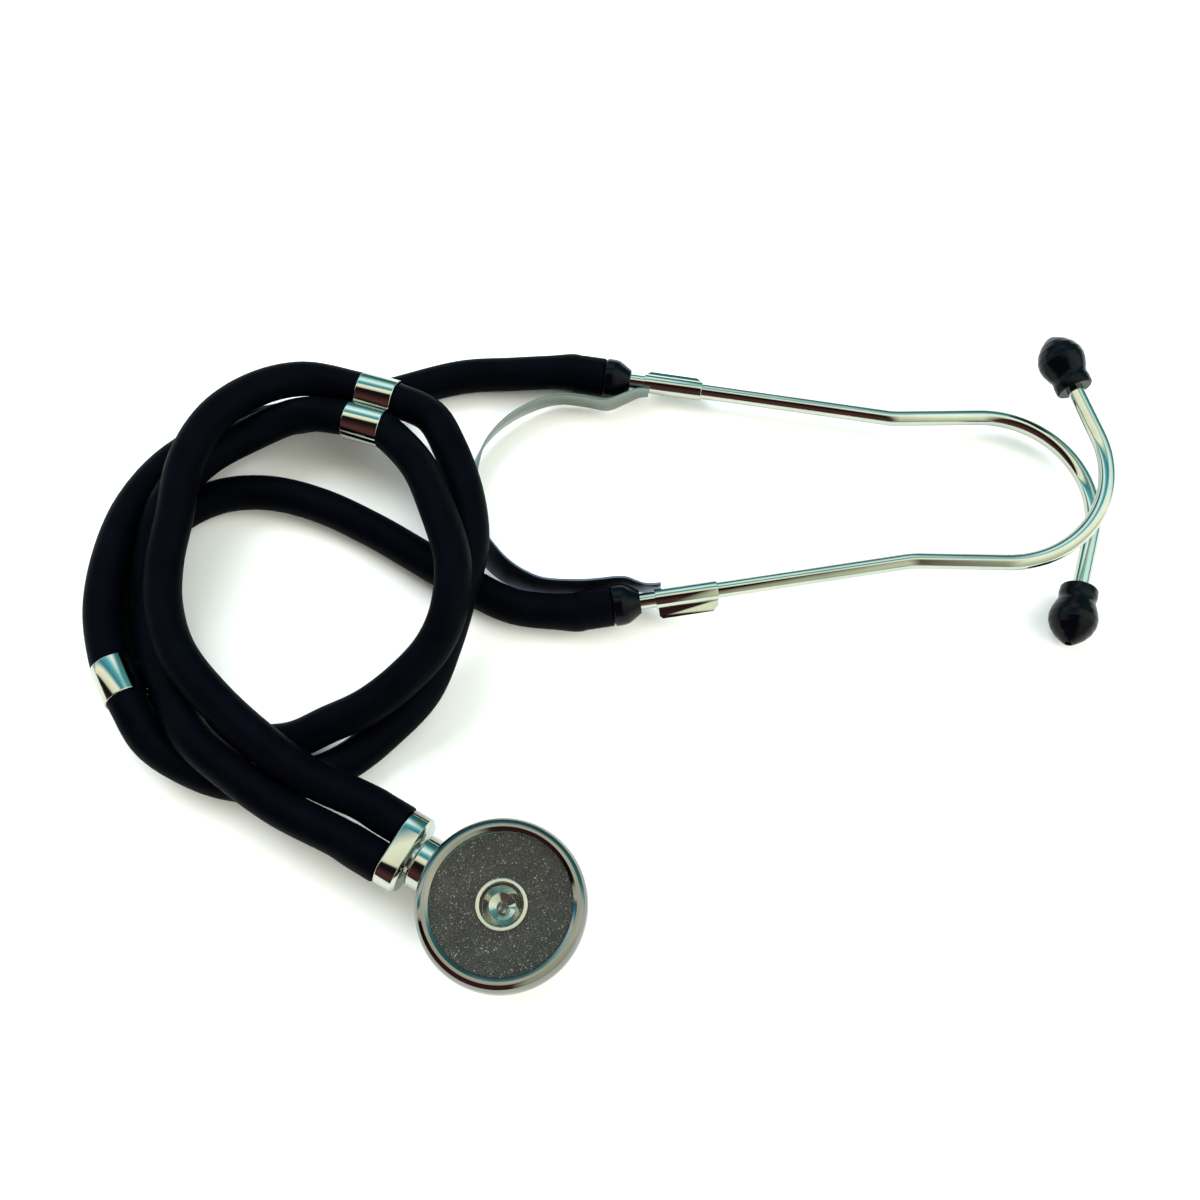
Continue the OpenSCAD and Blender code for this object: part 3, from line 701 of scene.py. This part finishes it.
def ear_path():
    """Middle line of an ear tube in its own plane, and the end of its large bend."""
    centre = Vector((EAR_STRAIGHT, -KICK_R, 0))
    path = [Vector((-GRIP, 0, 0)), Vector((0, 0, 0)), Vector((EAR_STRAIGHT / 2, 0, 0))]
    path += [centre + KICK_R * heading(90 - KICK_ANGLE * k / 6) for k in range(7)]
    centre = path[-1] + KICK_STRAIGHT * heading(-KICK_ANGLE) + EAR_BEND_R * heading(90 - KICK_ANGLE)
    path += [centre + EAR_BEND_R * heading(EAR_BEND_ANGLE * k / 40 - KICK_ANGLE - 90)
             for k in range(41)]
    end = path[-1].copy()
    path += [end + d * heading(LAST_HEADING) for d in (TIP_STRAIGHT, TIP_STRAIGHT + IN_TIP)]
    return path, end


EAR_PATH, BEND_END = ear_path()
AFTER_BENDS = Matrix.Translation(BEND_END) @ z_rotation(LAST_HEADING)

# Connector and ear tip as (radius, place along the axis, rounding)
CONNECTOR = [(2.55, -8.0, 0), (2.55, 0, 0.2), (3.5, 0, 0.35), (5.1, -2.5, 1.2), (6.0, -4, 1.2),
             (6.3, -5.5, 1.2), (6.3, -7.9, 0.4), (5.7, -8.5, 0.3), (2.6, -8.5, 0), (2.6, -12, 0.4),
             (3.05, -12.4, 0.2), (2.6, -15, 0.2), (2.4, -20.4, 0.3), (1.5, -20.4, 0.1),
             (1.5, -8.0, 0)]
EAR_TIP = [(2.56, 0.1, 0), (5.2, 0, 0.3), (5.6, 0.5, 0.3), (5.7, 2.6, 0.9), (5.5, 4, 0.9),
           (5.6, 5, 0.9), (6.2, 6.4, 1.2), (6.9, 8.4, 1.5), (7.2, 10.2, 1.5), (7.0, 12.2, 2),
           (6.1, 14.4, 2), (4.6, 16.4, 2), (2.8, 18, 1.5), (1.4, 19, 0.4), (1.0, 18.8, 0.2),
           (1.0, 11.5, 0), (2.56, 11.5, 0)]
FLANGE_ROOT = 2.6            # distances from the sleeve's axis
FLANGE_REACH = 6.1
FLANGE_CUT = 1.8             # the large cut corner
FLANGE_DIP = 20              # degrees


def sleeve_shape():
    """The rolled end of the leaf spring: a thin tube, and the strip's free edge as a flange."""
    inner = EAR_R + 0.05
    wall = [(inner, SLEEVE_FROM, 0.12), (SLEEVE_R, SLEEVE_FROM, 0.2),
            (SLEEVE_R, SLEEVE_TO, 0.2), (inner, SLEEVE_TO, 0.12)]
    roll = moved(turned(wall, True, 64), TURN_X)
    first = SLEEVE_FROM + 0.6
    last = SLEEVE_TO - 0.2
    plan = rounded([(first, -FLANGE_ROOT), (first, 0.8 - FLANGE_REACH, 0.4),
                    (first + 0.8, -FLANGE_REACH, 0.4), (last - FLANGE_CUT, -FLANGE_REACH, 0.4),
                    (last, FLANGE_CUT - FLANGE_REACH, 0.4), (last, -FLANGE_ROOT)])
    middle = Vector(((first + last) / 2, -4.3))
    rings = []
    for z, inset in ((-0.4, 0.12), (-0.3, 0.0), (0.3, 0.0), (0.4, 0.12)):
        rings.append([Vector((p.x, p.y, z)) - (p - middle).normalized().to_3d() * inset
                      for p in plan])
    return joined(roll, moved(loft(rings), x_rotation(FLANGE_DIP)))


for arm in (LEFT, RIGHT):
    side = arm.side
    drawn = arm.matrix @ Matrix.Translation((PULL[side], 0, 0))
    ear_tube = piece(f"bent_ear_tube_{side}", swept(EAR_PATH, [EAR_R] * len(EAR_PATH)),
                     drawn, MATERIALS["chrome"], 50)
    finish_piece(ear_tube, f"{side}_ear", f"ear_tube_{side}")
    connector = piece(f"tapered_connector_{side}",
                      moved(turned(CONNECTOR, True, 72), TURN_X), arm.matrix,
                      MATERIALS["black_plastic"], 40)
    finish_piece(connector, f"{side}_arm", f"tube_connector_{side}")
    sleeve = piece(f"rolled_sleeve_{side}", sleeve_shape(), arm.matrix, MATERIALS["chrome"], 40)
    finish_piece(sleeve, f"{side}_arm", f"spring_sleeve_{side}")
    tip_place = AFTER_BENDS @ Matrix.Translation((TIP_STRAIGHT + TIP_PULL[side], 0, 0)) @ TURN_X
    tip = piece(f"soft_ear_tip_{side}", moved(turned(EAR_TIP, True, 72), tip_place), drawn,
                MATERIALS["black_plastic"], 50)
    finish_piece(tip, f"{side}_ear", f"ear_tip_{side}")


# ---------------------------------------------------------------- leaf spring
# Middle of the strip, how far its upper edge leans inward in degrees, and how much narrower
# it is than the rest of the strip
LEAF = [
    (-31.2, 91.9, 6.9, 4, 4.6), (-34.4, 91.8, 6.7, 6, 2.8), (-38.4, 90.2, 6.4, 8, 1),
    (-42.6, 88.2, 6.3, 9, 0), (-46, 87.7, 6.3, 10, 0), (-52.2, 89, 6.3, 11, 0),
    (-59.4, 89.8, 6.3, 12, 0), (-65.6, 88.5, 6.3, 12, 0), (-72, 85.4, 6.2, 13, 0),
    (-77, 81.8, 6.2, 14, 0), (-81.4, 77.2, 6.1, 16, 0), (-85, 71.4, 6, 18, 0),
    (-87.2, 64, 5.9, 22, 0), (-88.2, 55, 5.8, 27, 0), (-87.6, 46.4, 5.8, 32, 0),
    (-84.6, 38.4, 5.9, 34, 0), (-80.8, 33, 5.9, 32, 0), (-76.4, 28.6, 5.9, 27, 0),
    (-70.6, 25, 5.9, 20, 0), (-63.8, 22.8, 5.9, 13, 0), (-53.8, 22.4, 6, 10, 0),
    (-47, 23, 6, 8, 0), (-42.6, 23.6, 6.2, 6, 0), (-39, 23.6, 6.6, 4, 0.6),
    (-36.2, 22.6, 7.2, 2, 1.6), (-33.4, 21.7, 8, 0, 3), (-30.6, 21.7, 8.6, 0, 4.4),
    (-28.6, 22, 8.8, 0, 5)]
BOW = 13                     # the point in the middle of the bow, where the two halves meet


def strip_shape(points, per_span=8):
    """A thin strip with softened edges through points (x, y, z, lean, narrower)."""
    path = smooth_path([p[:3] for p in points], per_span)
    forms = smooth_path([(p[3], p[4], 0) for p in points], per_span)
    half_t = LEAF_T / 2
    rings = []
    for point, along, form in zip(path, tangents(path), forms):
        half_w = (LEAF_W - max(form.y, 0)) / 2
        section = rounded([(half_w, half_t, 0.25), (half_w, -half_t, 0.25),
                           (-half_w, -half_t, 0.25), (-half_w, half_t, 0.25)], True, 2)
        across = UP.cross(along).normalized()
        angle = math.radians(form.x)
        wide = math.cos(angle) * UP + math.sin(angle) * across
        thick = along.cross(wide)
        rings.append([point + c.x * wide + c.y * thick for c in section])
    return loft(rings)


for side, points, end in (("left", LEAF[:BOW + 1], LEAF[0]), ("right", LEAF[BOW:], LEAF[-1])):
    half = piece(f"leaf_spring_half_{side}", strip_shape(points), TO_FRAME,
                 MATERIALS["spring_steel"], 40)
    finish_piece(half, None, "leaf_spring")
    bend_with(half)


# ---------------------------------------------------------------- floor, light, background
def floor_material():
    """Plain pale paint, very faintly uneven."""
    m = Nodes("floor")
    m.link(m.ramp(m.noise(8, 2), (0.3, 0.86), (0.7, 0.90)), m.shader.inputs["Base Color"])
    m.set(Roughness=0.6, Specular_IOR_Level=0.2)
    return m.material


floor_mesh = bpy.data.meshes.new("floor")
floor_mesh.from_pydata([(-FLOOR_HALF, -FLOOR_HALF, 0), (FLOOR_HALF, -FLOOR_HALF, 0),
                        (FLOOR_HALF, FLOOR_HALF, 0), (-FLOOR_HALF, FLOOR_HALF, 0)], [],
                       [(0, 1, 2, 3)])
floor_mesh.materials.append(floor_material())
floor = bpy.data.objects.new("floor", floor_mesh)
bpy.context.scene.collection.objects.link(floor)


def area_light(name, place, size, watts, colour):
    """A soft lamp in metres, aimed at the origin, that reflections don't show."""
    light = bpy.data.lights.new(name, "AREA")
    light.shape = "RECTANGLE"
    light.size, light.size_y = size
    light.energy = watts
    light.color = colour
    obj = bpy.data.objects.new(name, light)
    obj.location = place
    obj.rotation_euler = (-Vector(place)).to_track_quat("-Z", "Y").to_euler()
    obj.visible_glossy = False
    bpy.context.scene.collection.objects.link(obj)


area_light("key", (-0.55, 0.75, 0.95), (1.0, 0.8), 20, (0.97, 0.99, 1.0))
area_light("fill", (0.9, -0.2, 0.7), (0.8, 0.8), 10, (1.0, 0.98, 0.95))
area_light("front", (-0.3, -1.1, 0.5), (0.9, 0.5), 8, (1.0, 0.97, 0.93))

# The studio round the object, from 0 at the horizon in front over 0.5 overhead to 1 behind: it
# has the cream, teal and dark red bands that the chrome mirrors, and is lighter to the right
SHADED_SIDE = [
    (0.0, (0.05, 0.022, 0.02)), (0.2, (0.075, 0.028, 0.028)), (0.33, (0.025, 0.01, 0.01)),
    (0.40, (0.005, 0.005, 0.006)), (0.47, (0.01, 0.012, 0.015)), (0.50, (0.75, 0.72, 0.55)),
    (0.57, (0.95, 0.95, 0.80)), (0.61, (0.03, 0.20, 0.28)), (0.67, (0.10, 0.45, 0.55)),
    (0.73, (0.95, 1.0, 1.0)), (0.80, (0.45, 0.78, 0.85)), (0.87, (0.05, 0.18, 0.21)),
    (1.0, (0.02, 0.08, 0.10))]
BRIGHT_SIDE = [
    (0.0, (0.35, 0.40, 0.30)), (0.3, (0.70, 0.76, 0.58)), (0.45, (1.0, 1.0, 0.82)),
    (0.55, (1.0, 1.0, 0.95)), (0.62, (0.7, 0.95, 0.95)), (0.72, (0.08, 0.30, 0.33)),
    (0.85, (0.04, 0.16, 0.18)), (1.0, (0.02, 0.08, 0.10))]
BRIGHT_FROM, BRIGHT_TO = 0.08, 0.26      # direction's x where the bright side starts and is full
STUDIO_STRENGTH = 1.9


def studio_world():
    """The coloured studio for light and reflections, and plain white for the camera."""
    world = bpy.data.worlds.new("studio")
    world.use_nodes = True
    tree = world.node_tree

    def operation(kind, *values):
        """A math node on sockets or numbers, and its result."""
        node = tree.nodes.new("ShaderNodeMath")
        node.operation = kind
        for socket, value in zip(node.inputs, values):
            if isinstance(value, (int, float)):
                socket.default_value = value
            else:
                tree.links.new(value, socket)
        return node.outputs["Value"]

    direction = tree.nodes.new("ShaderNodeTexCoord")
    split = tree.nodes.new("ShaderNodeSeparateXYZ")
    tree.links.new(direction.outputs["Generated"], split.inputs["Vector"])
    rise = operation("ARCTAN2", split.outputs["Z"], operation("MULTIPLY", split.outputs["Y"], -1))
    height = operation("DIVIDE", rise, math.pi)
    to_right = tree.nodes.new("ShaderNodeMapRange")
    to_right.inputs["From Min"].default_value = BRIGHT_FROM
    to_right.inputs["From Max"].default_value = BRIGHT_TO
    tree.links.new(split.outputs["X"], to_right.inputs["Value"])
    sky = tree.nodes.new("ShaderNodeMix")
    sky.data_type = "RGBA"
    tree.links.new(to_right.outputs["Result"], sky.inputs["Factor"])
    tree.links.new(colour_ramp(tree, height, SHADED_SIDE), sky.inputs["A"])
    tree.links.new(colour_ramp(tree, height, BRIGHT_SIDE), sky.inputs["B"])

    coloured = tree.nodes["Background"]
    coloured.inputs["Strength"].default_value = STUDIO_STRENGTH
    tree.links.new(sky.outputs["Result"], coloured.inputs["Color"])
    plain = tree.nodes.new("ShaderNodeBackground")
    plain.inputs["Color"].default_value = (1, 1, 1, 1)
    kind_of_ray = tree.nodes.new("ShaderNodeLightPath")
    either = tree.nodes.new("ShaderNodeMixShader")
    tree.links.new(kind_of_ray.outputs["Is Camera Ray"], either.inputs["Fac"])
    tree.links.new(coloured.outputs["Background"], either.inputs[1])
    tree.links.new(plain.outputs["Background"], either.inputs[2])
    tree.links.new(either.outputs["Shader"], tree.nodes["World Output"].inputs["Surface"])
    return world


bpy.context.scene.world = studio_world()
bpy.context.scene.view_settings.view_transform = "Standard"
